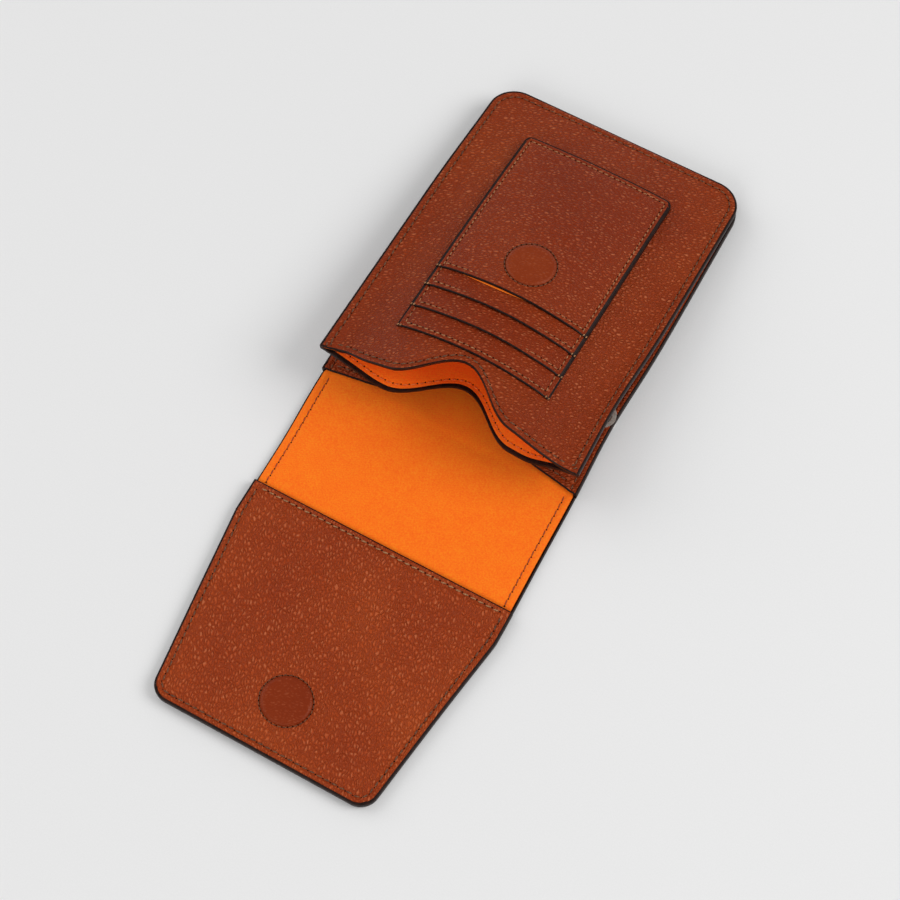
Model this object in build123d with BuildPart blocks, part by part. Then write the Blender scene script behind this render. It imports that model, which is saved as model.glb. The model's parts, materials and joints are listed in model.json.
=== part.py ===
"""Phone wallet case of pebbled leather, lying open on its back.

A back panel runs on past the mouth, wraps, and becomes the closing flap. A phone pouch is sewn
to the back panel along its far end only, so its mouth stands up off the back. Three stepped
card pockets are sewn to the pouch's front. Magnets in the flap and the top pocket close it.

+Y points to the far end, +X to the right, +Z up. The origin is the middle of the footprint, on
the surface that the case lies on. Millimetres.
"""
import os

from build123d import *

os.makedirs("parts", exist_ok=True)

# Driving dimensions -------------------------------------------------------------------------
TOTAL_L = 284.0            # far end of the back to the end of the open flap
CASE_W = 107.5             # back panel and wrap, across
POUCH_W = 107.0            # phone pouch, across
POUCH_L = 143.3            # pouch mouth to far end, in plan
FLAP_FACED_L = 89.8        # leather-faced part of the flap
FLAP_END_W = 88.8          # flap end, before its corners are rounded
FLAP_TAPER_START = 13.5    # the flap keeps its full width this far past the facing seam
FAR_CORNER_R = 11.0
FLAP_CORNER_R = 7.0

LEATHER = 1.5              # outer hide
BOARD = 1.2                # stiffener, and the soft reinforcement of the lining beside it
FACING = 1.2               # inner leather panels
TWILL = 0.5                # lining cloth
POUCH_LEATHER = 1.3
CARD_LEATHER = 0.8
BOARD_INSET = 5.0

SEAM_Z_MOUTH = 21.7        # pouch side seam above the surface, at the mouth
SEAM_Z_FAR = 7.0           # and at the far end, where it is sewn down
CROWN = 15.5               # the front panel's middle bulges this far above the seam at the mouth
SAG = 5.0                  # the back panel's middle hangs this far below it there
FLAT_MIDDLE = 0.3          # the least bulge or sag, at the far end

NOTCH_HALF_W = 20.0        # thumb notch in both pouch lips
NOTCH_DEPTH = 12.0
SLIP_DIP = 6.0             # the slip pocket's mouth is cut in a shallow curve this deep
SLIP_NOTCH_HALF_W = 44.0   # with a wide thumb notch in its middle
SLIP_NOTCH_DEPTH = 20.0

CARD_W = 63.0
CARD_NEAR = 18.4           # from the pouch mouth to the card panel's nearest edge
CARD_FAR = 121.8
CARD_STEPS = (10.1, 10.3, 9.2)   # from the base's edge to each pocket mouth in turn
CARD_CORNER_R = 3.0
POCKET_STRIP = 13.0        # width of the leather strip that fronts a lower pocket

MAGNET_R = 9.0
MAGNET_T = 1.0
MAGNET_PAD_R = 9.8         # the leather is raised over a magnet inside this radius
MAGNET_PAD_RISE = 0.6
POCKET_MAGNET = 63.5       # from the pouch mouth
FLAP_MAGNET = 119.5        # from the pouch mouth, the other way

EYELET_HOLE_R = 4.0
EYELET_WALL = 0.5
EYELET_FLANGE_R = 5.5
EYELET_FLANGE_T = 0.4
EYELET_X = 46.8
EYELET_FROM_MOUTH = 33.5

BENDS = 6                  # hinge lines that the wrap's bend is divided into
BEND_STEP = 8.8            # between hinge lines
WRAP_MIDDLE = 28.4         # from the pouch mouth to the middle of the wrap
BEND_GAP = 0.3             # between neighbouring strips

# Places along Y and heights worked out from them -------------------------------------------
FAR_Y = TOTAL_L / 2
FLAP_END_Y = -TOTAL_L / 2
MOUTH_Y = FAR_Y - POUCH_L
FACING_Y = FLAP_END_Y + FLAP_FACED_L
HINGE_YS = [MOUTH_Y - WRAP_MIDDLE + ((BENDS - 1) / 2 - i) * BEND_STEP for i in range(BENDS)]

LINING_Z = LEATHER + BOARD
SLIP_Z = LINING_Z + TWILL
BACK_TOP_Z = SLIP_Z + FACING
EYELET_Y = MOUTH_Y + EYELET_FROM_MOUTH
POUCH_STATIONS = (1.0, 0.75, 0.45, 0.2, 0.0)   # shares of the way from the far end to the mouth


def mouth_share(y):
    """How far y is from the far end towards the mouth: 0 to 1."""
    return (FAR_Y - y) / POUCH_L


def seam_z(y):
    """Height of the pouch's side seam."""
    return SEAM_Z_FAR + (SEAM_Z_MOUTH - SEAM_Z_FAR) * mouth_share(y)


def front_rise(y):
    """Bulge of the front panel's middle above the seam: full over most of its length."""
    return FLAT_MIDDLE + CROWN * (1 - (1 - mouth_share(y)) ** 1.5)


def back_rise(y):
    """Sag of the back panel's middle below the seam."""
    return -FLAT_MIDDLE - SAG * mouth_share(y)


def pouch_layer(rise, low, high):
    """A sheet of the pouch, between two heights off its seam, bowed by rise(y) in the middle."""
    half = POUCH_W / 2
    with BuildPart() as layer:
        for share in POUCH_STATIONS:
            y = FAR_Y - share * POUCH_L
            base = seam_z(y)
            middle = base + rise(y)
            with BuildSketch(Plane.XZ.offset(-y)):
                with BuildLine():
                    under = ThreePointArc((-half, base + low), (0, middle + low), (half, base + low))
                    over = ThreePointArc((half, base + high), (0, middle + high), (-half, base + high))
                    Line(under @ 1, over @ 0)
                    Line(over @ 1, under @ 0)
                make_face()
        loft(ruled=True)
    return layer.part


def notch_curve(half_width, depth):
    """The curved side of a thumb notch in an edge at the mouth. Returns its two ends."""
    left = (-half_width, MOUTH_Y)
    middle = (0, MOUTH_Y + depth)
    right = (half_width, MOUTH_Y)
    halfway = half_width / 2
    TangentArc(left, (-halfway, MOUTH_Y + depth / 2), tangent=(1, 0))
    TangentArc(middle, (-halfway, MOUTH_Y + depth / 2), tangent=(-1, 0))
    TangentArc(middle, (halfway, MOUTH_Y + depth / 2), tangent=(1, 0))
    TangentArc(right, (halfway, MOUTH_Y + depth / 2), tangent=(-1, 0))
    return left, right


def pouch_outline():
    """Plan of both pouch panels: rounded far corners and a wavy lip with a thumb notch."""
    half = POUCH_W / 2
    with BuildSketch() as outline:
        with BuildLine():
            left, right = notch_curve(NOTCH_HALF_W, NOTCH_DEPTH)
            Line((-half, MOUTH_Y), left)
            Line(right, (half, MOUTH_Y))
            Line((half, MOUTH_Y), (half, FAR_Y))
            Line((half, FAR_Y), (-half, FAR_Y))
            Line((-half, FAR_Y), (-half, MOUTH_Y))
        make_face()
        fillet(outline.vertices().group_by(Axis.Y)[-1], FAR_CORNER_R)
    return outline.sketch


def pouch_panel(rise, low, high):
    """A pouch layer cut to the pouch's outline."""
    with BuildPart() as panel:
        add(pouch_layer(rise, low, high))
        extrude(pouch_outline(), amount=SEAM_Z_MOUTH * 3, mode=Mode.INTERSECT)
    return panel.part


def card_layer(near, far, low, high, corner_r=0.0, width=CARD_W):
    """A rectangle of the front panel's surface, between two distances from the pouch mouth."""
    with BuildSketch() as outline:
        with Locations((0, MOUTH_Y + (near + far) / 2)):
            Rectangle(width, far - near)
        if corner_r:
            fillet(outline.vertices().group_by(Axis.Y)[-1], corner_r)
    with BuildPart() as panel:
        add(pouch_layer(front_rise, low, high))
        extrude(outline.sketch, amount=SEAM_Z_MOUTH * 3, mode=Mode.INTERSECT)
    return panel.part


def back_outline(near_y, far_y, corner_r=FAR_CORNER_R, inset=0.0):
    """Plan of a sheet of the back panel, with its far corners rounded."""
    with BuildSketch() as outline:
        with Locations((0, (near_y + far_y) / 2)):
            Rectangle(CASE_W - 2 * inset, far_y - near_y)
        if corner_r:
            fillet(outline.vertices().group_by(Axis.Y)[-1], corner_r)
    return outline.sketch


def flap_outline(near_y, end_y, inset=0.0):
    """Plan of a sheet of the flap: full width, then tapering to a rounded end."""
    half = CASE_W / 2 - inset
    end_half = FLAP_END_W / 2 - inset
    taper_y = FACING_Y - FLAP_TAPER_START
    with BuildSketch() as outline:
        with BuildLine():
            Polyline((half, near_y), (half, taper_y), (end_half, end_y), (-end_half, end_y),
                     (-half, taper_y), (-half, near_y), close=True)
        make_face()
        fillet(outline.vertices().group_by(Axis.Y)[0], FLAP_CORNER_R)
    return outline.sketch


def eyelet_holes(radius, low, high):
    """The two strap holes, to be cut from a layer of the back panel."""
    with BuildPart() as holes:
        with BuildSketch(Plane.XY.offset(low)):
            with Locations((-EYELET_X, EYELET_Y), (EYELET_X, EYELET_Y)):
                Circle(radius)
        extrude(amount=high - low)
    return holes.part


def finish(part, name):
    """Name a piece and write it."""
    part.label = name
    export_step(part, f"parts/{name}.step")


# Back panel --------------------------------------------------------------------------------
EYELET_BARREL_R = EYELET_HOLE_R + EYELET_WALL
BACK_NEAR_Y = HINGE_YS[0] + BEND_GAP / 2

with BuildPart() as back_leather:
    extrude(back_outline(BACK_NEAR_Y, FAR_Y), amount=LEATHER)
    add(eyelet_holes(EYELET_BARREL_R, 0, LEATHER), mode=Mode.SUBTRACT)
    add(eyelet_holes(EYELET_FLANGE_R, 0, EYELET_FLANGE_T), mode=Mode.SUBTRACT)
finish(back_leather.part, "back_leather")

with BuildPart() as back_stiffener:
    with BuildSketch(Plane.XY.offset(LEATHER)):
        add(back_outline(MOUTH_Y, FAR_Y - BOARD_INSET, FAR_CORNER_R - BOARD_INSET, BOARD_INSET))
    extrude(amount=BOARD)
    add(eyelet_holes(EYELET_BARREL_R, 0, BACK_TOP_Z), mode=Mode.SUBTRACT)
finish(back_stiffener.part, "back_stiffener")

with BuildPart() as back_lining:
    with BuildSketch(Plane.XY.offset(LINING_Z)):
        add(back_outline(MOUTH_Y, FAR_Y))
    extrude(amount=TWILL)
    with BuildSketch(Plane.XY.offset(LEATHER)):
        add(back_outline(BACK_NEAR_Y, MOUTH_Y, corner_r=0))
    extrude(amount=BOARD)
    with BuildSketch(Plane.XY.offset(LINING_Z)):
        add(back_outline(MOUTH_Y - TWILL, MOUTH_Y, corner_r=0))
    extrude(amount=TWILL)
    add(eyelet_holes(EYELET_BARREL_R, 0, BACK_TOP_Z), mode=Mode.SUBTRACT)
finish(back_lining.part, "back_lining")

with BuildPart() as slip_pocket_panel:
    with BuildSketch(Plane.XY.offset(SLIP_Z)):
        add(back_outline(MOUTH_Y, FAR_Y))
        with BuildLine():
            ThreePointArc((-CASE_W / 2, MOUTH_Y), (0, MOUTH_Y + SLIP_DIP), (CASE_W / 2, MOUTH_Y))
            Line((CASE_W / 2, MOUTH_Y), (-CASE_W / 2, MOUTH_Y))
        make_face(mode=Mode.SUBTRACT)
        with BuildLine():
            left, right = notch_curve(SLIP_NOTCH_HALF_W, SLIP_NOTCH_DEPTH)
            Line(right, left)
        make_face(mode=Mode.SUBTRACT)
    extrude(amount=FACING)
    add(eyelet_holes(EYELET_BARREL_R, 0, BACK_TOP_Z), mode=Mode.SUBTRACT)
finish(slip_pocket_panel.part, "slip_pocket_panel")

# Each strap eyelet is a flanged barrel from the inside, closed on a washer let into the outside.
for side, name in ((-1, "left"), (1, "right")):
    with BuildPart() as strap_eyelet:
        with BuildSketch():
            with Locations((side * EYELET_X, EYELET_Y)):
                Circle(EYELET_BARREL_R)
                Circle(EYELET_HOLE_R, mode=Mode.SUBTRACT)
        extrude(amount=BACK_TOP_Z)
        with BuildSketch(Plane.XY.offset(BACK_TOP_Z)):
            with Locations((side * EYELET_X, EYELET_Y)):
                Circle(EYELET_FLANGE_R)
                Circle(EYELET_HOLE_R, mode=Mode.SUBTRACT)
        extrude(amount=EYELET_FLANGE_T)
    finish(strap_eyelet.part, f"strap_eyelet_{name}")

    with BuildPart() as eyelet_washer:
        with BuildSketch():
            with Locations((side * EYELET_X, EYELET_Y)):
                Circle(EYELET_FLANGE_R)
                Circle(EYELET_BARREL_R, mode=Mode.SUBTRACT)
        extrude(amount=EYELET_FLANGE_T)
    finish(eyelet_washer.part, f"eyelet_washer_{name}")

# Wrap: the hide and its lining, in strips that turn about lines in the lining's face --------
for i in range(BENDS - 1):
    strip_far = HINGE_YS[i] - BEND_GAP / 2
    strip_near = HINGE_YS[i + 1] + BEND_GAP / 2
    with BuildPart() as wrap_leather:
        extrude(back_outline(strip_near, strip_far, corner_r=0), amount=LEATHER)
    finish(wrap_leather.part, f"wrap_leather_{i + 1}")

    with BuildPart() as wrap_lining:
        with BuildSketch(Plane.XY.offset(LEATHER)):
            add(back_outline(strip_near, strip_far, corner_r=0))
        extrude(amount=BOARD)
    finish(wrap_lining.part, f"wrap_lining_{i + 1}")

# Flap --------------------------------------------------------------------------------------
FLAP_NEAR_Y = HINGE_YS[-1] - BEND_GAP / 2
FLAP_MAGNET_Y = MOUTH_Y - FLAP_MAGNET
LINING_TURN = 6.0          # the lining runs on under the facing this far
MAGNET_PLAY = 0.2

with BuildPart() as flap_leather:
    extrude(flap_outline(FLAP_NEAR_Y, FLAP_END_Y), amount=LEATHER)
finish(flap_leather.part, "flap_leather")

with BuildPart() as flap_lining:
    with BuildSketch(Plane.XY.offset(LEATHER)):
        add(back_outline(FACING_Y - LINING_TURN, FLAP_NEAR_Y, corner_r=0))
    extrude(amount=BOARD)
finish(flap_lining.part, "flap_lining")

with BuildPart() as flap_stiffener:
    with BuildSketch(Plane.XY.offset(LEATHER)):
        add(flap_outline(FACING_Y - LINING_TURN, FLAP_END_Y + BOARD_INSET, BOARD_INSET))
        with Locations((0, FLAP_MAGNET_Y)):
            Circle(MAGNET_R + MAGNET_PLAY, mode=Mode.SUBTRACT)
    extrude(amount=BOARD)
finish(flap_stiffener.part, "flap_stiffener")

with BuildPart() as flap_magnet:
    with BuildSketch(Plane.XY.offset(LEATHER)):
        with Locations((0, FLAP_MAGNET_Y)):
            Circle(MAGNET_R)
    extrude(amount=MAGNET_T)
finish(flap_magnet.part, "flap_magnet")

with BuildPart() as flap_facing:
    with BuildSketch(Plane.XY.offset(LINING_Z)):
        add(flap_outline(FACING_Y, FLAP_END_Y))
    extrude(amount=FACING)
    with BuildSketch(Plane.XY.offset(LINING_Z + FACING)):
        with Locations((0, FLAP_MAGNET_Y)):
            Circle(MAGNET_PAD_R)
    extrude(amount=MAGNET_PAD_RISE)
finish(flap_facing.part, "flap_facing")

# Pouch: two lined leather panels that meet along the side seams -----------------------------
POUCH_SKIN = TWILL + POUCH_LEATHER

finish(pouch_panel(front_rise, 0, TWILL), "pouch_front_lining")
finish(pouch_panel(front_rise, TWILL, POUCH_SKIN), "pouch_front_leather")
finish(pouch_panel(back_rise, -TWILL, 0), "pouch_back_lining")
finish(pouch_panel(back_rise, -POUCH_SKIN, -TWILL), "pouch_back_leather")

# Card panel: a base with two strip-fronted pockets and one full pocket stepped back on it ----
CARD_BASE_TOP = POUCH_SKIN + CARD_LEATHER
LOWER_TOP = CARD_BASE_TOP + CARD_LEATHER
MIDDLE_TOP = LOWER_TOP + CARD_LEATHER
TOP_TOP = MIDDLE_TOP + CARD_LEATHER
TAIL = 0.2                 # cloth tail that carries a pocket strip down to the far seam
TAIL_GAP = 0.05
TAIL_W = CARD_W - 6
TAIL_FAR = CARD_FAR - 4

lower_mouth = CARD_NEAR + CARD_STEPS[0]
middle_mouth = lower_mouth + CARD_STEPS[1]
top_mouth = middle_mouth + CARD_STEPS[2]

finish(card_layer(CARD_NEAR, CARD_FAR, POUCH_SKIN, CARD_BASE_TOP, CARD_CORNER_R), "card_base_panel")
finish(card_layer(lower_mouth, lower_mouth + POCKET_STRIP, CARD_BASE_TOP, LOWER_TOP), "card_pocket_lower")
finish(card_layer(middle_mouth, middle_mouth + POCKET_STRIP, LOWER_TOP, MIDDLE_TOP), "card_pocket_middle")

tail_low = CARD_BASE_TOP + TAIL_GAP
finish(card_layer(lower_mouth + POCKET_STRIP + TAIL_GAP, TAIL_FAR, tail_low, tail_low + TAIL, width=TAIL_W),
       "card_lining_lower")
tail_low = tail_low + TAIL + TAIL_GAP
finish(card_layer(middle_mouth + POCKET_STRIP + TAIL_GAP, TAIL_FAR, tail_low, tail_low + TAIL, width=TAIL_W),
       "card_lining_middle")

# The top pocket's magnet is a flat disc that lies along the panel's slope under the leather.
magnet_y = MOUTH_Y + POCKET_MAGNET
slope_span = 2 * MAGNET_R
far_z = seam_z(magnet_y + MAGNET_R) + front_rise(magnet_y + MAGNET_R)
near_z = seam_z(magnet_y - MAGNET_R) + front_rise(magnet_y - MAGNET_R)
magnet_z = (far_z + near_z) / 2 + MIDDLE_TOP - MAGNET_PLAY
magnet_plane = Plane(origin=(0, magnet_y, magnet_z), x_dir=(1, 0, 0), z_dir=(0, near_z - far_z, slope_span))

with BuildPart() as card_pocket_top:
    add(card_layer(top_mouth, CARD_FAR, MIDDLE_TOP, TOP_TOP, CARD_CORNER_R))
    with BuildSketch(magnet_plane):
        Circle(MAGNET_PAD_R)
    extrude(amount=CARD_LEATHER + MAGNET_PAD_RISE)
    with BuildSketch(magnet_plane.offset(MAGNET_PLAY / 2)):
        Circle(MAGNET_R + MAGNET_PLAY)
    extrude(amount=-MAGNET_T, mode=Mode.SUBTRACT)
finish(card_pocket_top.part, "card_pocket_top")

with BuildPart() as pocket_magnet:
    with BuildSketch(magnet_plane):
        Circle(MAGNET_R)
    extrude(amount=-MAGNET_T + MAGNET_PLAY)
finish(pocket_magnet.part, "pocket_magnet")
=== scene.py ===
"""Phone wallet case of pebbled leather, lying open on its back: hide, linings, panels and seams."""
import json
import math

import bpy
from mathutils import Matrix, Vector, noise


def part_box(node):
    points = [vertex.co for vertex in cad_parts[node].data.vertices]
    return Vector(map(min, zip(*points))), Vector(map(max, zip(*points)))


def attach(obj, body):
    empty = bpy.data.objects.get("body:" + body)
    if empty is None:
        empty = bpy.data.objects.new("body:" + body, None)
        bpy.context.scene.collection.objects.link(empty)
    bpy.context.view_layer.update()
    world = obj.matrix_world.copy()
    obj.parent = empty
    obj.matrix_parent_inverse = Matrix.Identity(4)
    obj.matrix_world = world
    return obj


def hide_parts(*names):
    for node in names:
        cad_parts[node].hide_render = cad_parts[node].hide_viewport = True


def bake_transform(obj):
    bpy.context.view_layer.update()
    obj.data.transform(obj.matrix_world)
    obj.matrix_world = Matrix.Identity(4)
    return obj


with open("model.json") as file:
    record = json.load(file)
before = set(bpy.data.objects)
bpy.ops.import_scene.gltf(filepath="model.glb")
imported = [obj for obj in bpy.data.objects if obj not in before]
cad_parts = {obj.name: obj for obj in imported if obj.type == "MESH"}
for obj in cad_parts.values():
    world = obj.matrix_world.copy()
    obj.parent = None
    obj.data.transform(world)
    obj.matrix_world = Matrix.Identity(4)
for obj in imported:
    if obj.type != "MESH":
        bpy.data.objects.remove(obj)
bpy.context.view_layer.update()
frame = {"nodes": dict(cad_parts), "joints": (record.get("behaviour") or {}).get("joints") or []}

MM = 0.001
BODIES = ["back"] + [f"wrap_{i}" for i in range(1, 6)] + ["flap"]
HINGES = len(BODIES) - 1


def box_mm(node):
    """A CAD node's lowest and highest corners, in millimetres."""
    return [[c / MM for c in corner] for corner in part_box(node)]


# Sizes, in millimetres, from the frame -------------------------------------------------------
(_, _, _), (CASE_HALF, FAR_Y, HIDE) = box_mm("back_leather")
(_, MOUTH_Y, _), (POUCH_HALF, _, _) = box_mm("pouch_front_leather")
(_, END_Y, LINING_Z), (_, FACING_Y, _) = box_mm("flap_facing")
_, (_, _, BACK_TOP) = box_mm("slip_pocket_panel")
(_, CARD_NEAR, _), (CARD_HALF, CARD_FAR, _) = box_mm("card_base_panel")
(_, LOWER_MOUTH, _), _ = box_mm("card_pocket_lower")
(_, MIDDLE_MOUTH, _), _ = box_mm("card_pocket_middle")
(_, TOP_MOUTH, _), _ = box_mm("card_pocket_top")
(_, flap_magnet_near, _), (MAGNET_R, flap_magnet_far, _) = box_mm("flap_magnet")
(_, pocket_magnet_near, _), (_, pocket_magnet_far, _) = box_mm("pocket_magnet")
(eyelet_left, eyelet_near, _), (eyelet_right, eyelet_far, _) = box_mm("strap_eyelet_right")
FLAP_MAGNET_Y = (flap_magnet_near + flap_magnet_far) / 2
POCKET_MAGNET_Y = (pocket_magnet_near + pocket_magnet_far) / 2
EYELET_X, EYELET_Y = (eyelet_left + eyelet_right) / 2, (eyelet_near + eyelet_far) / 2
EYELET_R = (eyelet_right - eyelet_left) / 2
hinge_ys = [j["pos_m"][1] / MM for j in frame["joints"] if j["name"].startswith("wrap_bend")]
BEND_STEP = (hinge_ys[0] - hinge_ys[-1]) / (HINGES - 1)

# Sizes set here, in millimetres ---------------------------------------------------------------
FACING_T = 1.2             # inner leather panels
TWILL_T = 0.5              # lining cloth
POUCH_T = 1.3
CARD_T = 0.8
FLAP_END_HALF = 44.4
TAPER_Y = FACING_Y - 13.5
FAR_R = 11.0
FLAP_R = 7.0
CARD_R = 3.0
SEAM_FAR = 7.0             # height of the pouch's side seam at the far end
SEAM_RISE = 14.7           # and how much higher it is at the mouth
CROWN = 15.5
SAG = 5.0
FLAT_MIDDLE = 0.3
STITCH_IN = 2.8            # seam line, in from an edge
STITCH_PITCH = 3.0
RING_PITCH = 2.0           # the finer stitches round a magnet
DISC_RISE = 0.8
STRAP_HOLE_R = EYELET_R - 0.9    # in leather and cloth, hidden under the eyelet's flange
EDGE_IN = 0.35             # the painted bands' centre line, in from an edge
LINING_HALF_IN = 1.0       # the wrap's lining, in from the hide's edge
LINING_END = FACING_Y - 3.6


# Materials ------------------------------------------------------------------------------------
def colour(code):
    """Linear RGBA of an sRGB hex colour."""
    parts = [int(code[i:i + 2], 16) / 255 for i in (1, 3, 5)]
    return [c / 12.92 if c <= 0.04045 else ((c + 0.055) / 1.055) ** 2.4 for c in parts] + [1.0]


def add_node(tree, kind, inputs=None, stops=None, **settings):
    """Add a node with its settings, its input values or links, and a ramp's colour stops."""
    made = tree.nodes.new(kind)
    for key, value in settings.items():
        setattr(made, key, value)
    for key, value in (inputs or {}).items():
        if isinstance(value, bpy.types.NodeSocket):
            tree.links.new(value, made.inputs[key])
        else:
            made.inputs[key].default_value = value
    for i, (place, code) in enumerate(stops or []):
        element = made.color_ramp.elements[i] if i < 2 else made.color_ramp.elements.new(place)
        element.position = place
        element.color = colour(code)
    return made


def new_material(name):
    """An empty material with its shader, as (material, tree, shader)."""
    made = bpy.data.materials.new(name)
    made.use_nodes = True
    tree = made.node_tree
    shader = tree.nodes["Principled BSDF"]
    return made, tree, shader


def pebbled_leather(name, tones, crease_shade, crest_highlight, cell=1.1, rough=(0.52, 0.38), depth=0.0005, turn=25.0,
                    stretch=0.5, shown=1.0):
    """Drum-dyed calf with a shrunken pebble grain, satin finished: small domed cells with a painted
    highlight on their tops, in patches, and painted shade in the creases between them. cell is their width in
    mm, and they are drawn out by stretch along a direction at turn degrees, as the hide was tensioned."""
    made, tree, shader = new_material(name)
    place = add_node(tree, "ShaderNodeTexCoord").outputs["Object"]
    drift = add_node(tree, "ShaderNodeTexNoise", {"Vector": place, "Scale": 1 / (3.2 * MM), "Detail": 2.0})
    shift = add_node(tree, "ShaderNodeVectorMath", {0: drift.outputs["Color"], 1: (0.0014, 0.0014, 0.0014)},
                     operation="MULTIPLY")
    moved = add_node(tree, "ShaderNodeVectorMath", {0: place, 1: shift.outputs[0]}, operation="ADD")
    along = add_node(tree, "ShaderNodeMapping", {"Vector": moved.outputs[0],
                                                 "Rotation": (0, 0, math.radians(-turn))})
    warped = add_node(tree, "ShaderNodeVectorMath", {0: along.outputs[0], 1: (stretch, 1.0, 1.0)},
                      operation="MULTIPLY").outputs[0]
    cells = add_node(tree, "ShaderNodeTexVoronoi", {"Vector": warped, "Scale": 1 / (cell * MM)},
                     feature="DISTANCE_TO_EDGE")
    small = add_node(tree, "ShaderNodeTexVoronoi", {"Vector": warped, "Scale": 1 / (0.5 * cell * MM)},
                     feature="DISTANCE_TO_EDGE")
    domes = add_node(tree, "ShaderNodeMapRange", {"Value": cells.outputs["Distance"], "From Max": 0.42},
                     interpolation_type="SMOOTHSTEP")
    pores = add_node(tree, "ShaderNodeMapRange", {"Value": small.outputs["Distance"], "From Max": 0.35},
                     interpolation_type="SMOOTHSTEP")
    height = add_node(tree, "ShaderNodeMath", {0: pores.outputs[0], 1: 0.25, 2: domes.outputs[0]},
                      operation="MULTIPLY_ADD")
    wide = add_node(tree, "ShaderNodeTexNoise", {"Vector": place, "Scale": 1 / (40 * MM), "Detail": 2.0})
    fine = add_node(tree, "ShaderNodeTexNoise", {"Vector": warped, "Scale": 1 / (2.0 * MM), "Detail": 4.0})
    tone = add_node(tree, "ShaderNodeMath", {0: fine.outputs["Fac"], 1: 0.2, 2: wide.outputs["Fac"]},
                    operation="MULTIPLY_ADD")
    dye = add_node(tree, "ShaderNodeValToRGB", {"Fac": tone.outputs[0]},
                   stops=list(zip((0.3, 0.9, 0.6), (tones[0], tones[2], tones[1]))))
    # Painted shade: the low parts between the domes are darkened.
    low = add_node(tree, "ShaderNodeMapRange", {"Value": height.outputs[0], "From Max": 0.6,
                                                "To Min": 0.6 * shown, "To Max": 0.0})
    hide = add_node(tree, "ShaderNodeMix", {"Factor": low.outputs[0], 6: dye.outputs["Color"],
                                            7: colour(crease_shade)}, data_type="RGBA")
    # Painted highlight: the tops of the domes are lightened, in random patches.
    crest_highlight_ramp = add_node(tree, "ShaderNodeMapRange", {"Value": height.outputs[0], "From Min": 0.6, "From Max": 1.2,
                                                 "To Max": 0.6 * shown})
    patchy = add_node(tree, "ShaderNodeMapRange", {"Value": fine.outputs["Fac"], "From Min": 0.25,
                                                   "From Max": 0.6})
    crest_highlight_mask = add_node(tree, "ShaderNodeMath", {0: crest_highlight_ramp.outputs[0], 1: patchy.outputs[0]},
                      operation="MULTIPLY")
    top = add_node(tree, "ShaderNodeMix", {"Factor": crest_highlight_mask.outputs[0], 6: hide.outputs[2], 7: colour(crest_highlight)},
                   data_type="RGBA")
    tree.links.new(top.outputs[2], shader.inputs["Base Color"])
    gloss = add_node(tree, "ShaderNodeMapRange", {"Value": height.outputs[0], "From Max": 1.2,
                                                  "To Min": rough[1], "To Max": rough[0]})
    tree.links.new(gloss.outputs[0], shader.inputs["Roughness"])
    bump = add_node(tree, "ShaderNodeBump", {"Strength": 0.9, "Distance": depth, "Height": height.outputs[0]})
    tree.links.new(bump.outputs[0], shader.inputs["Normal"])
    shader.inputs["Specular IOR Level"].default_value = 0.28
    shader.inputs["Specular Tint"].default_value = (1.0, 0.58, 0.42, 1.0)
    return made


def twill_cloth(name, tones, pitch=0.75):
    """Brushed cotton twill: diagonal ribs and a soft matt bloom. The ribs are drawn pitch mm
    apart, wide enough to show."""
    made, tree, shader = new_material(name)
    place = add_node(tree, "ShaderNodeTexCoord").outputs["Object"]
    drift = add_node(tree, "ShaderNodeTexNoise", {"Vector": place, "Scale": 1 / (5 * MM)})
    turned = add_node(tree, "ShaderNodeMapping", {"Vector": place, "Rotation": (0, 0, math.radians(58))})
    period = 2 * math.pi / (20 * pitch * MM)
    ribs = add_node(tree, "ShaderNodeTexWave", {"Vector": turned.outputs[0], "Scale": period,
                                                "Distortion": 1.2, "Detail": 2.0, "Detail Scale": 1.5})
    cross = add_node(tree, "ShaderNodeTexWave", {"Vector": turned.outputs[0], "Scale": period * 1.3,
                                                 "Distortion": 0.8}, bands_direction="Y")
    weave = add_node(tree, "ShaderNodeMath", {0: cross.outputs["Fac"], 1: 0.4, 2: ribs.outputs["Fac"]},
                     operation="MULTIPLY_ADD")
    fuzz = add_node(tree, "ShaderNodeTexNoise", {"Vector": place, "Scale": 1 / (0.6 * MM), "Detail": 3.0})
    mixed = add_node(tree, "ShaderNodeMath", {0: drift.outputs["Fac"], 1: 0.25, 2: fuzz.outputs["Fac"]},
                     operation="MULTIPLY_ADD")
    dye = add_node(tree, "ShaderNodeValToRGB", {"Fac": mixed.outputs[0]},
                   stops=list(zip((0.35, 0.9, 0.62), (tones[0], tones[2], tones[1]))))
    shade = add_node(tree, "ShaderNodeMapRange", {"Value": weave.outputs[0], "From Max": 1.4, "To Min": 0.16,
                                                  "To Max": 0.0})
    cloth = add_node(tree, "ShaderNodeMix", {"Factor": shade.outputs[0], 6: dye.outputs["Color"],
                                             7: colour(tones[0])}, data_type="RGBA")
    tree.links.new(cloth.outputs[2], shader.inputs["Base Color"])
    lift = add_node(tree, "ShaderNodeMath", {0: fuzz.outputs["Fac"], 1: 0.8, 2: weave.outputs[0]},
                    operation="MULTIPLY_ADD")
    bump = add_node(tree, "ShaderNodeBump", {"Strength": 0.35, "Distance": 0.00012,
                                             "Height": lift.outputs[0]})
    tree.links.new(bump.outputs[0], shader.inputs["Normal"])
    shader.inputs["Roughness"].default_value = 0.85
    shader.inputs["Specular IOR Level"].default_value = 0.2
    shader.inputs["Sheen Weight"].default_value = 0.15
    shader.inputs["Sheen Roughness"].default_value = 0.5
    return made


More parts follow.
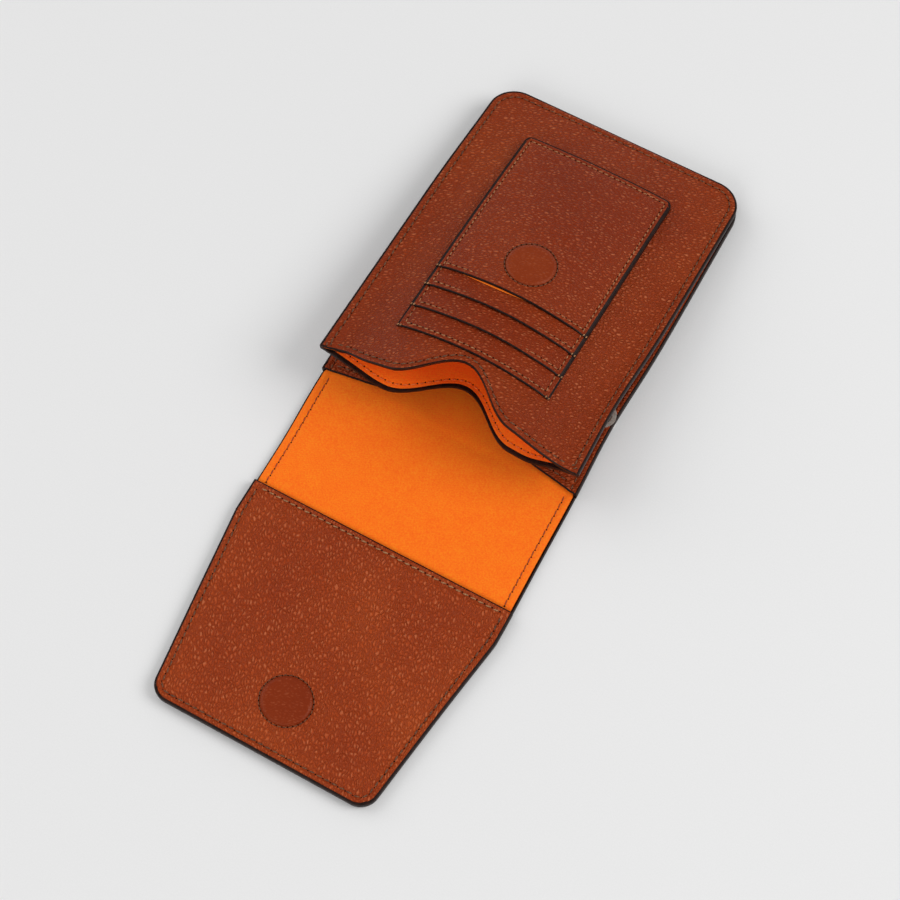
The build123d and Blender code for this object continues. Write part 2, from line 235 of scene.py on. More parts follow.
def grained(name, tones, size, rough, depth, metallic=0.0, level=0.5):
    """A finish whose colour, gloss and surface vary together with one fine grain of size mm."""
    made, tree, shader = new_material(name)
    place = add_node(tree, "ShaderNodeTexCoord").outputs["Object"]
    grain = add_node(tree, "ShaderNodeTexNoise", {"Vector": place, "Scale": 1 / (size * MM), "Detail": 4.0})
    dye = add_node(tree, "ShaderNodeValToRGB", {"Fac": grain.outputs["Fac"]},
                   stops=list(zip((0.35, 0.65), tones)))
    tree.links.new(dye.outputs["Color"], shader.inputs["Base Color"])
    gloss = add_node(tree, "ShaderNodeMapRange", {"Value": grain.outputs["Fac"], "To Min": rough[0],
                                                  "To Max": rough[1]})
    tree.links.new(gloss.outputs[0], shader.inputs["Roughness"])
    bump = add_node(tree, "ShaderNodeBump", {"Strength": 0.5, "Distance": depth,
                                             "Height": grain.outputs["Fac"]})
    tree.links.new(bump.outputs[0], shader.inputs["Normal"])
    shader.inputs["Metallic"].default_value = metallic
    shader.inputs["Specular IOR Level"].default_value = level
    return made


# Painted shade for the grain's creases and painted highlight for the tops of its domes.
CREASE_SHADE = "#661E05"
CREST_HIGHLIGHT = "#CC7C54"
# The flap's tones are painted lighter, and the cards' and magnet discs' darker, than the case's: painted
# light and painted shade on the same calf.
CASE_LEATHER = pebbled_leather("pebbled_calf_case", ("#8A2D09", "#97350B", "#A34011"), CREASE_SHADE, CREST_HIGHLIGHT)
FLAP_LEATHER_PAINTED_LIGHT = pebbled_leather("pebbled_calf_flap_painted_light", ("#9E370F", "#AC4214", "#B84D1A"), CREASE_SHADE, CREST_HIGHLIGHT,
                               turn=112)
CARD_LEATHER_PAINTED_SHADE = pebbled_leather("pebbled_calf_cards_painted_shade", ("#822806", "#8F2F09", "#9B390E"), CREASE_SHADE, CREST_HIGHLIGHT,
                               cell=1.0, depth=0.0004, turn=15)
DISC_LEATHER_PAINTED_SHADE = pebbled_leather("smooth_calf_disc_painted_shade", ("#73230A", "#812B0C", "#8C350F"), "#642007", CREST_HIGHLIGHT,
                               cell=0.9, rough=(0.42, 0.34), depth=0.00008, shown=0.3)
TWILL = twill_cloth("orange_cotton_twill", ("#FB6204", "#FF7608", "#FF8A12"))
# Acrylic edge paint: near black, with slow waves that break its soft highlights.
PAINT = grained("burnished_edge_paint", ("#150B08", "#2A1712"), 1.6, (0.4, 0.55), 0.00012, level=0.14)
# Waxed linen thread: dull and twisted, a little lighter than the hide.
THREAD = grained("waxed_linen_thread", ("#43200E", "#84502C"), 0.5, (0.5, 0.8), 0.00008)
TAN_THREAD = grained("tan_linen_thread", ("#7A4A28", "#BC8A5C"), 0.5, (0.5, 0.8), 0.00008)
RUST_THREAD = grained("rust_linen_thread", ("#7A2608", "#A8440F"), 0.5, (0.5, 0.8), 0.00008)
ORANGE_THREAD = grained("orange_linen_thread", ("#C24A0A", "#F8842C"), 0.5, (0.5, 0.8), 0.00008)
# Awl holes: dark flattened domes, painted shade for the pits that the thread goes down into.
HOLE_SHADE = grained("awl_hole_shade", ("#1C0C06", "#301608"), 0.4, (0.8, 0.95), 0.00004, level=0.1)
# Satin nickel plate over brass, tumbled: a wide soft haze.
NICKEL = grained("satin_nickel_plate", ("#DAD5CA", "#ECE8DE"), 0.9, (0.4, 0.52), 0.00002, metallic=1.0)
# Zinc-plated magnet: grey metal with a mottled haze.
MAGNET = grained("zinc_plated_magnet", ("#8C8C88", "#A6A6A2"), 1.2, (0.3, 0.45), 0.00003, metallic=1.0)
# Pressed grey board: matt and fibrous.
BOARD = grained("pressed_grey_board", ("#7A6A58", "#968672"), 0.8, (0.85, 0.95), 0.00008)


# Shapes -------------------------------------------------------------------------------------
def clamp(value, low=0.0, high=1.0):
    return max(low, min(high, value))


def smooth(edge0, edge1, value):
    """0 at edge0, 1 at edge1, eased between them."""
    t = clamp((value - edge0) / (edge1 - edge0))
    return t * t * (3 - 2 * t)


def dent(value, centre, width):
    """A soft bump of height 1 and that width at centre."""
    return math.exp(-((value - centre) / width) ** 2)


def ripple(x, y, size, seed=0.0):
    """Slow waves between -1 and 1, size mm across."""
    return noise.noise(Vector((x / size, y / size, seed)))


def case_half(y):
    """Half the width of the hide at y: rounded at the far end, tapered and rounded at the flap's."""
    half = CASE_HALF
    if y < TAPER_Y:
        half += (FLAP_END_HALF - CASE_HALF) * (TAPER_Y - y) / (TAPER_Y - END_Y)
    for end, radius in ((FAR_Y, FAR_R), (END_Y, FLAP_R)):
        near = radius - abs(end - y)
        if near > 0:
            half -= radius - math.sqrt(max(radius * radius - near * near, 0))
    return half


def rect_inward(x, y, half, end, radius, other=None):
    """Distance in from the edge of a strip whose end has rounded corners."""
    across, along = half - abs(x), abs(end - y)
    if across < radius and along < radius:
        edge = radius - math.hypot(radius - across, radius - along)
    else:
        edge = min(across, along)
    return edge if other is None else min(edge, abs(other - y))


def case_inward(x, y):
    """Distance in from the hide's edge."""
    if y > 0:
        return rect_inward(x, y, CASE_HALF, FAR_Y, FAR_R)
    half = CASE_HALF
    if y < TAPER_Y:
        half += (FLAP_END_HALF - CASE_HALF) * (TAPER_Y - y) / (TAPER_Y - END_Y)
    return rect_inward(x, y, half, END_Y, FLAP_R)


def sewn(edge, roll=0.5, groove=0.38, seam=STITCH_IN):
    """Height change near a sewn edge: rolled over at the edge, drawn down along the seam."""
    return -roll * dent(edge, 0, 0.8) - groove * dent(edge, seam, 0.75) + 0.14 * dent(edge, seam - 1.5, 0.7)


def spaced(start, end, step):
    count = max(1, round(abs(end - start) / step))
    return [start + (end - start) * i / count for i in range(count)]


def columns(half, edge=6.5, fine=0.5, coarse=1.5):
    """Places across a panel, -1 to 1, closer together near both sides."""
    places = spaced(-half, edge - half, fine) + spaced(edge - half, half - edge, coarse)
    places += spaced(half - edge, half, fine) + [half]
    return [p / half for p in places]


def rows(start, end, ease_start=True, ease_end=True, edge=6.0, fine=0.5, coarse=1.5, corner=0.0):
    """Places along a panel from start to end, closer together near the ends and round a corner."""
    sign = 1 if end > start else -1
    length = abs(end - start)
    head, tail = (edge if ease_start else 0), (edge if ease_end else 0)
    if corner:
        tail = max(tail, corner + 1)
    places = spaced(0, head, fine) if head else []
    places += spaced(head, length - tail, coarse)
    if corner:
        places += spaced(length - tail, length - corner, fine)
        turns = 16
        places += [length - corner * (1 - math.sin(math.pi / 2 * k / turns)) for k in range(turns)]
    elif tail:
        places += spaced(length - tail, length, fine)
    return [start + sign * p for p in places + [length]]


def deselect():
    bpy.ops.object.select_all(action="DESELECT")


def only(obj):
    deselect()
    obj.select_set(True)
    bpy.context.view_layer.objects.active = obj


def grid(name, across, along, place):
    """A sheet of a grid primitive, each point moved to place(u, row) in mm."""
    deselect()
    bpy.ops.mesh.primitive_grid_add(x_subdivisions=len(across) - 1, y_subdivisions=len(along) - 1, size=2)
    obj = bpy.context.object
    obj.name = obj.data.name = name
    for v in obj.data.vertices:
        i = round((v.co.x + 1) / 2 * (len(across) - 1))
        j = round((v.co.y + 1) / 2 * (len(along) - 1))
        v.co = Vector(place(across[i], along[j])) * MM
    return obj


def ease(obj):
    """How the soft leather lies: its right side is drawn in beside the mouth, its left side is let
    out there, and both of its ends are a little short."""
    for v in obj.data.vertices:
        x, y = v.co.x / MM, v.co.y / MM
        side = clamp(abs(x) / CASE_HALF) ** 3
        if x > 0:
            away = 0.8 * dent(y, -62, 26) - 1.5 * dent(y, 29, 26)
        else:
            away = -1.1 * smooth(-38, -3, y) * smooth(FAR_Y - 4, 80, y)
        v.co.x += away * side * MM
        v.co.y += (1.5 * smooth(-95, END_Y, y) - 1.6 * smooth(100, FAR_Y, y)) * MM


def apply_all(obj):
    only(obj)
    for modifier in list(obj.modifiers):
        bpy.ops.object.modifier_apply(modifier=modifier.name)


def smooth_shaded(obj, angle=50):
    only(obj)
    bpy.ops.object.shade_smooth_by_angle(angle=math.radians(angle))


def outward(obj, merge=0.00002):
    """Merge doubles and point every face outwards."""
    only(obj)
    bpy.ops.object.mode_set(mode="EDIT")
    bpy.ops.mesh.select_all(action="SELECT")
    bpy.ops.mesh.remove_doubles(threshold=merge)
    bpy.ops.mesh.normals_make_consistent(inside=False)
    bpy.ops.object.mode_set(mode="OBJECT")


def panel(name, across, along, place, thick, face, body, nodes=(), edge=None, painted=0.5,
          under=False, round_edge=0.3, holes=0.0):
    """A cut sheet with a painted edge. place gives its shown face: the upper one, or the lower
    one where under is set. edge(x, y) is the distance in from its edge, which is painted over
    for that width. holes is the radius of its two strap holes."""
    obj = grid(name, across, along, place)
    obj.data.materials.append(face)
    obj.data.materials.append(PAINT)
    if edge:
        for polygon in obj.data.polygons:
            x, y = polygon.center.x / MM, polygon.center.y / MM
            polygon.material_index = 1 if edge(x, y) < painted else 0
    ease(obj)
    if under:
        outside_down(obj)
    wall = obj.modifiers.new("wall", "SOLIDIFY")
    wall.thickness = thick * MM
    wall.offset = -1
    wall.material_offset_rim = 1
    apply_all(obj)
    if holes:
        punch(obj, holes)
    if round_edge:
        soft = obj.modifiers.new("soft", "BEVEL")
        soft.width = round_edge * MM
        soft.segments = 2
        soft.limit_method = "ANGLE"
        soft.angle_limit = math.radians(60)
        soft.material = 1
        apply_all(obj)
    smooth_shaded(obj)
    settle(obj, body, nodes)
    return obj


def outside_down(obj):
    only(obj)
    bpy.ops.object.mode_set(mode="EDIT")
    bpy.ops.mesh.select_all(action="SELECT")
    bpy.ops.mesh.flip_normals()
    bpy.ops.object.mode_set(mode="OBJECT")


def punch(obj, radius):
    """Cut the two strap holes."""
    deselect()
    for side in (-1, 1):
        bpy.ops.mesh.primitive_cylinder_add(vertices=40, radius=radius * MM, depth=0.02,
                                            location=(side * EYELET_X * MM, EYELET_Y * MM, 0))
        cutter = bpy.context.object
        cut = obj.modifiers.new("hole", "BOOLEAN")
        cut.object = cutter
        cut.solver = "FAST"
        apply_all(obj)
        bpy.data.objects.remove(cutter)


def settle(obj, body, nodes=()):
    """Ride the body's empty where body is a name; where it is a hinge number, only bake the transform in.
    Stand for the CAD nodes.
    """
    if isinstance(body, int):
        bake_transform(obj)
    else:
        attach(obj, body)
    if nodes:
        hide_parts(*nodes)


def round_path(near_half, near_y, end_half, end_y, radius, inset, steps=14):
    """Points inside an edge: up the right side, round two corners and down the left side."""
    sign = 1 if end_y > near_y else -1
    side = Vector((end_half - near_half, end_y - near_y)).normalized()
    inside = Vector((-sign * side.y, sign * side.x))
    start = Vector((near_half, near_y))
    centre_y = end_y - sign * radius
    reach = (centre_y - (start + inside * radius).y) / side.y
    centre = start + inside * radius + side * reach
    first = math.atan2(-inside.y, -inside.x)
    last = sign * math.pi / 2
    right = [start + inside * inset]
    for k in range(steps + 1):
        angle = first + (last - first) * k / steps
        right.append(centre + Vector((math.cos(angle), math.sin(angle))) * (radius - inset))
    return right + [Vector((-p.x, p.y)) for p in reversed(right)]


def resample(path, pitch, ends=0.5):
    """(place, direction) at an even pitch along a path, starting part of a pitch in."""
    lengths = [0.0]
    for a, b in zip(path, path[1:]):
        lengths.append(lengths[-1] + (Vector(b) - Vector(a)).length)
    count = max(1, int((lengths[-1] - 2 * ends * pitch) / pitch + 1.0001))
    step = (lengths[-1] - 2 * ends * pitch) / max(1, count - 1) if count > 1 else 0
    out, k = [], 0
    for i in range(count):
        at = ends * pitch + i * step
        while k < len(lengths) - 2 and lengths[k + 1] < at:
            k += 1
        a, b = Vector(path[k]), Vector(path[k + 1])
        span = max(lengths[k + 1] - lengths[k], 1e-9)
        out.append((a.lerp(b, (at - lengths[k]) / span), (b - a).normalized()))
    return out


def stitch(thread, pitch, length, radius):
    """One stitch along X, with a dark dome beyond its end as the painted shade of its awl hole."""
    deselect()
    bpy.ops.mesh.primitive_uv_sphere_add(segments=6, ring_count=5, radius=1)
    one = bpy.context.object
    only(one)
    bpy.ops.object.mode_set(mode="EDIT")
    bpy.ops.mesh.select_all(action="SELECT")
    bpy.ops.transform.rotate(value=math.pi / 2, orient_axis="Y", center_override=(0, 0, 0))
    bpy.ops.transform.resize(value=(length / 2 * MM, radius * MM, radius * MM), center_override=(0, 0, 0))
    bpy.ops.object.mode_set(mode="OBJECT")
    one.data.materials.append(thread)
    # The awl hole's painted shade: a flat dark dome just below the surface.
    deselect()
    bpy.ops.mesh.primitive_uv_sphere_add(segments=6, ring_count=3, radius=1,
                                         location=(pitch / 2 * MM, 0, -0.15 * radius * MM))
    hole = bpy.context.object
    hole.scale = (0.36 * MM, 0.36 * MM, 0.2 * MM)
    bpy.ops.object.transform_apply(location=True, rotation=True, scale=True)
    hole.data.materials.append(HOLE_SHADE)
    deselect()
    hole.select_set(True)
    one.select_set(True)
    bpy.context.view_layer.objects.active = one
    bpy.ops.object.join()
    for face in one.data.polygons:
        face.use_smooth = True
    return one


def sew(name, paths, surface, thread, body, pitch=STITCH_PITCH, length=2.2, radius=0.33,
        side=1, within=None, slant=7):
    """Stitches along paths on a surface. side is 1 for the upper face and -1 for the lower one."""
    pattern = stitch(thread, pitch, length, radius)
    copies = []
    for path in paths:
        for spot, way in resample(path, pitch):
            if within and not within[0] >= spot.y > within[1]:
                continue
            if body != "pouch" and math.hypot(abs(spot.x) - EYELET_X, spot.y - EYELET_Y) < EYELET_R + 0.8:
                continue
            x, y = spot
            here = Vector((x, y, surface(x, y)))
            ahead = Vector((way.x, way.y, (surface(x + way.x * 0.6, y + way.y * 0.6)
                                           - surface(x - way.x * 0.6, y - way.y * 0.6)) / 1.2)).normalized()
            off = Vector((-way.y, way.x))
            sideways = Vector((off.x, off.y, (surface(x + off.x * 0.6, y + off.y * 0.6)
                                              - surface(x - off.x * 0.6, y - off.y * 0.6)) / 1.2))
            up = ahead.cross(sideways).normalized() * side
            left = up.cross(ahead).normalized()
            turn = Matrix.Rotation(math.radians(slant), 4, "Z")
            frame_at = Matrix((ahead, left, up)).transposed().to_4x4()
            spot_at = Matrix.Translation((here + up * radius * 0.3) * MM)
            copy = pattern.copy()
            copy.data = pattern.data.copy()
            copy.data.transform(spot_at @ frame_at @ turn)
            bpy.context.collection.objects.link(copy)
            copies.append(copy)
    bpy.data.objects.remove(pattern)
    deselect()
    for copy in copies:
        copy.select_set(True)
    bpy.context.view_layer.objects.active = copies[0]
    if len(copies) > 1:
        bpy.ops.object.join()
    seam = bpy.context.view_layer.objects.active
    seam.name = seam.data.name = name
    ease(seam)
    settle(seam, body)
    return seam


def bead(name, path, low, high, width, body, material=PAINT):
    """The painted edge of a stack of layers: a rounded band that follows their outline."""
    around = 14
    points = [Vector(p) for p in path]
    corner = 0.6           # how square the band's section is, from 0 to 1 for round

    def place(u, j):
        j = int(j)
        before, after = points[max(j - 1, 0)], points[min(j + 1, len(points) - 1)]
        way = (after - before).normalized()
        out = Vector((way.y, -way.x))
        angle = (u + 1) * math.pi
        c, s = math.cos(angle), math.sin(angle)
        side = math.copysign(abs(c) ** corner, c) * width / 2
        rise = math.copysign(abs(s) ** corner, s) / 2
        spot = points[j] + out * side
        bottom, top = low(*points[j]), high(*points[j])
        return spot.x, spot.y, (bottom + top) / 2 + rise * (top - bottom)

    across = [-1 + 2 * i / around for i in range(around + 1)]
    obj = grid(name, across, list(range(len(points))), place)
    ease(obj)
    outward(obj)
    only(obj)
    bpy.ops.object.mode_set(mode="EDIT")
    bpy.ops.mesh.select_all(action="DESELECT")
    bpy.ops.mesh.select_non_manifold()
    bpy.ops.mesh.fill_holes(sides=0)
    bpy.ops.mesh.select_all(action="SELECT")
    bpy.ops.mesh.normals_make_consistent(inside=False)
    bpy.ops.object.mode_set(mode="OBJECT")
    obj.data.materials.append(material)
    smooth_shaded(obj, 60)
    settle(obj, body)
    return obj


def dense(path, step=2.0):
    """A path with points at most step apart, ends kept."""
    out = []
    for a, b in zip(path, path[1:]):
        count = max(1, math.ceil((Vector(b) - Vector(a)).length / step))
        out += [Vector(a).lerp(Vector(b), k / count) for k in range(count)]
    return out + [Vector(path[-1])]


# Surfaces -------------------------------------------------------------------------------------
def share(y):
    """How far y is from the far end towards the mouth."""
    return (FAR_Y - y) / (FAR_Y - MOUTH_Y)


def seam_height(y):
    return SEAM_FAR + SEAM_RISE * share(y)


def crown(x):
    """Share of the bulge at x: flat along the sewn sides, full in the middle."""
    q = (1 - (x / POUCH_HALF) ** 2 - 0.25) / 0.75
    return 0.5 * (q + math.sqrt(q * q + 0.003))


def front(x, y):
    """The front panel's line, where its lining meets the back one along the sides."""
    s = clamp(share(y))
    rise = FLAT_MIDDLE + CROWN * (1 - (1 - s) ** 1.5)
    soft = smooth(3, 9, POUCH_HALF - abs(x)) * smooth(3, 9, FAR_Y - y)
    return seam_height(y) + rise * crown(x) + soft * (0.35 * ripple(x, y, 34, 3) + 0.1 * ripple(x, y, 11, 5))


def back_line(x, y):
    """The back panel's line."""
    drop = FLAT_MIDDLE + SAG * clamp(share(y))
    return seam_height(y) - drop * crown(x)


def pouch_inward(x, y):
    return rect_inward(x, y, POUCH_HALF, FAR_Y, FAR_R)


def notch(x, half):
    return 0.5 * (1 + math.cos(math.pi * clamp(abs(x) / half)))


def front_lip(x):
    """The front panel's mouth: a thumb notch in a lip that waves a little."""
    return MOUTH_Y - 0.1 + 14.2 * notch(x, 25) + 1.9 * dent(x, -45, 7) - 0.7 * dent(x, 37, 9)


def back_lip(x):
    """The back panel's mouth: the same notch, with its sides hanging forward."""
    rise = 14.9 * notch(x + 0.5, 26.5) + 2.2 * (x / POUCH_HALF) ** 4
    return MOUTH_Y - 1.3 + rise - 1.1 * dent(x, 34, 7) - 0.5 * dent(x, -31, 6)


def front_top(x, y):
    """The front leather's shown face."""
    lip = y - front_lip(x)
    relief = sewn(pouch_inward(x, y), roll=0.35) - 0.2 * dent(lip, 2.4, 0.7) - 0.3 * dent(lip, 0, 0.8)
    return front(x, y) + TWILL_T + POUCH_T + relief


def back_lining_top(x, y):
    lip = y - back_lip(x)
    return back_line(x, y) - 0.05 - 0.2 * dent(lip, 3.0, 0.7) - 0.25 * dent(pouch_inward(x, y), 0, 1.0)


def card_top(level):
    """The shown face of a card layer, level 0 for the base."""
    def surface(x, y):
        edge = min(CARD_HALF - abs(x), CARD_FAR - y)
        press = 0.35 * (1 - smooth(0, 5, edge)) * level / 3
        return (front(x, y) + TWILL_T + POUCH_T + CARD_T * (level + 1) - press
                + sewn(edge, roll=0.3, groove=0.3, seam=2.3))
    return surface


def slip_top(x, y):
    lip = y - slip_lip(x)
    relief = sewn(case_inward(x, y)) - 0.3 * dent(lip, STITCH_IN, 0.7) - 0.3 * dent(lip, 0, 0.8)
    return BACK_TOP + 0.05 * ripple(x, y, 12, 2) + relief


def slip_lip(x):
    """The slip pocket's mouth: a shallow curve with a thumb notch in its middle."""
    curve, dip = 5.6 * (1 - (x / CASE_HALF) ** 2), 20 * notch(x, 44)
    return MOUTH_Y + 0.5 * (curve + dip + math.sqrt((curve - dip) ** 2 + 1)) - 0.5


def facing_top(x, y):
    """The flap's facing, with a border seam and creases that run out from the magnet."""
    edge = min(case_inward(x, y), FACING_Y - y)
    dx, dy = x, y - FLAP_MAGNET_Y
    radius, angle = math.hypot(dx, dy), math.atan2(dy, dx)
    spread = noise.noise(Vector((math.cos(angle) * 7, math.sin(angle) * 7, radius / 40)))
    creases = 0.55 * spread * smooth(9, 15, radius) * (1 - smooth(24, 50, radius)) * smooth(4, 8, edge)
    soft = smooth(3, 9, edge) * (0.25 * ripple(x, y, 30, 8) + 0.1 * ripple(x, y, 7, 9))
    ring_dip = 0.3 * dent(radius, MAGNET_R + 0.9, 0.8)
    return LINING_Z + FACING_T + lift(y) + sewn(edge) + creases + soft - ring_dip


def lift(y):
    """The flap's end curls up a little beyond its magnet."""
    return 2.0 * smooth(FLAP_MAGNET_Y - MAGNET_R, 2 * END_Y - FLAP_MAGNET_Y, y)


def outer_face(x, y):
    """The hide's outside: flat on the ground, with its edge and seam drawn in."""
    return -sewn(case_inward(x, y), roll=0.35, groove=0.35) * 0.9 + 0.13 + (lift(y) if y < 0 else 0)


def wrap_top(x, y):
    """The wrap's lining: flat, a little slack, and tucked under the panels at both ends."""
    edge = case_half(y) - 1.0 - abs(x)
    slack = 0.4 * ripple(x, y, 24, 11) + 0.12 * ripple(x, y, 10, 12)
    tuck = 0.75 * smooth(FACING_Y + 1.5, FACING_Y - 0.5, y)
    raised = 0.33 * smooth(MOUTH_Y - 1.5, MOUTH_Y + 1.5, y)
    rest = smooth(1.5, 6, edge) * smooth(FACING_Y, FACING_Y + 6, y) * smooth(MOUTH_Y + 8, MOUTH_Y - 2, y)
    return LINING_Z + 0.1 + raised - tuck + rest * slack + sewn(edge, roll=0.3, groove=0.25, seam=2.9) * 0.8


# Outer hide and wrap lining, each cut at the middle of every strip -----------------------------
cuts = [hinge_ys[k] - BEND_STEP / 2 for k in range(HINGES - 1)]
hide_ends = [FAR_Y] + cuts + [END_Y]
lining_ends = [FAR_Y - 1.2] + cuts + [LINING_END]


def lining_half(y):
    """Half the lining's width: just inside the hide's edge."""
    if y < MOUTH_Y:
        return case_half(y) - LINING_HALF_IN
    return case_half(min(y + 1.6, FAR_Y)) - 1.4


def hide_place(u, y):
    x = u * case_half(y)
    return x, y, outer_face(x, y)


def lining_place(u, y):
    x = u * lining_half(y)
    return x, y, wrap_top(x, y)


for k in range(HINGES):
    start, end = hide_ends[k], hide_ends[k + 1]
    if k == 0:
        along = rows(end, start, False, True, corner=FAR_R)
        nodes = ["back_leather"]
    elif k < HINGES - 1:
        along = rows(end, start, False, False, coarse=1.1)
        nodes = [f"wrap_leather_{k}"]
    else:
        along = list(reversed(rows(start, end, False, True, corner=FLAP_R)))
        nodes = [f"wrap_leather_{k}", "flap_leather"]
    holes = 0 if k else STRAP_HOLE_R
    panel(f"outer_hide_{k + 1}", columns(CASE_HALF), along, hide_place, HIDE - 0.13, CASE_LEATHER, k + 1,
          nodes, case_inward, under=True, round_edge=0.0, holes=holes)
    start, end = lining_ends[k], lining_ends[k + 1]
    nodes = [f"wrap_lining_{k}"] if k else ["back_lining"]
    if k == HINGES - 1:
        nodes.append("flap_lining")
    if k == 0:
        along = rows(end, MOUTH_Y + 4, False, False, coarse=1.1)[:-1] + spaced(MOUTH_Y + 4, start - 12, 3)
        along += spaced(start - 12, start, 1.0) + [start]
    else:
        along = rows(end, start, False, False, coarse=1.1)
    panel(
        f"wrap_lining_cloth_{k + 1}", columns(CASE_HALF), along, lining_place, TWILL_T, TWILL, k + 1, nodes,
        round_edge=0.0, holes=holes)


# Slip pocket panel and the flap's facing
def slip_place(u, t):
    """Where the slip pocket's points go, from its mouth to the far end."""
    mouth = slip_lip(u * CASE_HALF)
    y = mouth + (FAR_Y - mouth) * t
    x = u * case_half(y)
    return x, y, slip_top(x, y)


def facing_place(u, y):
    x = u * case_half(y)
    return x, y, facing_top(x, y)


panel("slip_pocket_leather", columns(CASE_HALF), rows(0, 1, True, True, 0.05, 0.004, 0.012), slip_place,
      FACING_T, CASE_LEATHER, "back", ["slip_pocket_panel"],
      lambda x, y: min(case_inward(x, y), y - slip_lip(x)), holes=STRAP_HOLE_R)
panel("flap_facing_leather", columns(CASE_HALF, coarse=1.0),
      list(reversed(rows(FACING_Y, END_Y, True, True, corner=FLAP_R, coarse=1.0))), facing_place,
      FACING_T, FLAP_LEATHER_PAINTED_LIGHT, "flap", ["flap_facing"],
      lambda x, y: min(case_inward(x, y), FACING_Y - y))


# Pouch panels ---------------------------------------------------------------------------------
def pouch_half(y):
    near = FAR_R - (FAR_Y - y)
    return POUCH_HALF - (FAR_R - math.sqrt(max(FAR_R ** 2 - near * near, 0)) if near > 0 else 0)


length = FAR_Y - MOUTH_Y
along_pouch = [(y - MOUTH_Y) / length for y in rows(MOUTH_Y, FAR_Y, True, True, corner=FAR_R)]


def pouch_place(lip, surface, inset=0.0, lip_in=0.0):
    """Where a pouch sheet's points go, from its lip to the far end."""
    def place(u, t):
        edge = lip(u * POUCH_HALF) + lip_in
        y = edge + (FAR_Y - inset - edge) * t
        half = pouch_half(y) - inset
        return u * half, y, surface(u * half, y)
    return place


panel("pouch_front_leather_sheet", columns(POUCH_HALF), along_pouch, pouch_place(front_lip, front_top),
      POUCH_T, CASE_LEATHER, "pouch", ["pouch_front_leather"],
      lambda x, y: min(pouch_inward(x, y), 0.8 * (y - front_lip(x))))
front_lining = panel("pouch_front_lining_cloth", columns(POUCH_HALF, fine=1.2, coarse=2.4),
                     [t for i, t in enumerate(along_pouch) if i % 2 == 0 or t in (0, 1) or t > 0.9],
                     pouch_place(front_lip, lambda x, y: front(x, y) + TWILL_T - 0.08, 0.8, 0.15),
                     TWILL_T - 0.1, TWILL, "pouch", ["pouch_front_lining"], round_edge=0.0)
back_lining = panel("pouch_back_lining_cloth", columns(POUCH_HALF), along_pouch,
                    pouch_place(back_lip, back_lining_top, 0.8, 1.3), TWILL_T, TWILL, "pouch",
                    ["pouch_back_lining"], round_edge=0.0)
panel("pouch_back_leather_sheet", columns(POUCH_HALF), along_pouch,
      pouch_place(back_lip, lambda x, y: back_lining_top(x, y) - TWILL_T - 0.02), POUCH_T, CASE_LEATHER,
      "pouch", ["pouch_back_leather"],
      lambda x, y: min(pouch_inward(x, y), y - back_lip(x)), painted=1.6)


# Card pockets ---------------------------------------------------------------------------------
def card_piece(name, level, near, far, nodes, rounded=True, half=CARD_HALF):
    surface = card_top(level)

    def place(u, y):
        corner = CARD_R - (CARD_FAR - y)
        width = half
        if rounded and corner > 0:
            width -= CARD_R - math.sqrt(max(CARD_R ** 2 - corner ** 2, 0))
        x = u * width
        gape = 0.5 * dent(y, near, 4) * (1 - (x / half) ** 2) ** 2 if level else 0
        return x, y, surface(x, y) + gape

    def edge(x, y):
        far_edge = rect_inward(x, y, half, far, CARD_R) if rounded else half - abs(x)
        return min(far_edge, y - near)
    along = rows(near, far, True, rounded, edge=4.5, corner=CARD_R if rounded else 0)
    return panel(name, columns(half, edge=4.5), along, place, CARD_T, CARD_LEATHER_PAINTED_SHADE, "pouch", nodes,
                 edge, painted=0.75 if level else 0.35, round_edge=0.2)


card_piece("card_base_leather", 0, CARD_NEAR, CARD_FAR, ["card_base_panel"])
card_piece("card_pocket_lower_leather", 1, LOWER_MOUTH, LOWER_MOUTH + 13, ["card_pocket_lower"], False)
card_piece("card_pocket_middle_leather", 2, MIDDLE_MOUTH, MIDDLE_MOUTH + 13, ["card_pocket_middle"], False)
card_piece("card_pocket_top_leather", 3, TOP_MOUTH, CARD_FAR, ["card_pocket_top"])
TAIL_HALF = CARD_HALF - 3
TAIL_T = 0.2
for level, near, node in ((1, LOWER_MOUTH, "card_lining_lower"), (2, MIDDLE_MOUTH, "card_lining_middle")):
    surface = card_top(level)

    def tail_place(u, y):
        x = u * TAIL_HALF
        return x, y, surface(x, y) - CARD_T - 0.05
    tail = panel(f"{node}_cloth", columns(TAIL_HALF, edge=4, fine=2, coarse=3),
                 rows(near + 0.6, CARD_FAR - 4, False, False, coarse=3), tail_place, TAIL_T, TWILL, "pouch",
                 [node], round_edge=0.0)


def top_lining_place(u, t):
    """The top pocket's own lining, which peeps out along the left half of its mouth."""
    x, y = u * TAIL_HALF, TOP_MOUTH - 1.25 * dent(u, -0.25, 0.52) + 0.4 + 8 * t
    gape = 0.45 * dent(y, TOP_MOUTH, 4) * (1 - (x / CARD_HALF) ** 2) ** 2
    return x, y, card_top(3)(x, y) - CARD_T - 0.08 + gape


panel("card_pocket_top_cloth", columns(TAIL_HALF, edge=4, fine=1, coarse=1.5),
      rows(0, 1, False, False, coarse=0.1), top_lining_place, TAIL_T, TWILL, "pouch", [],
      round_edge=0.0)


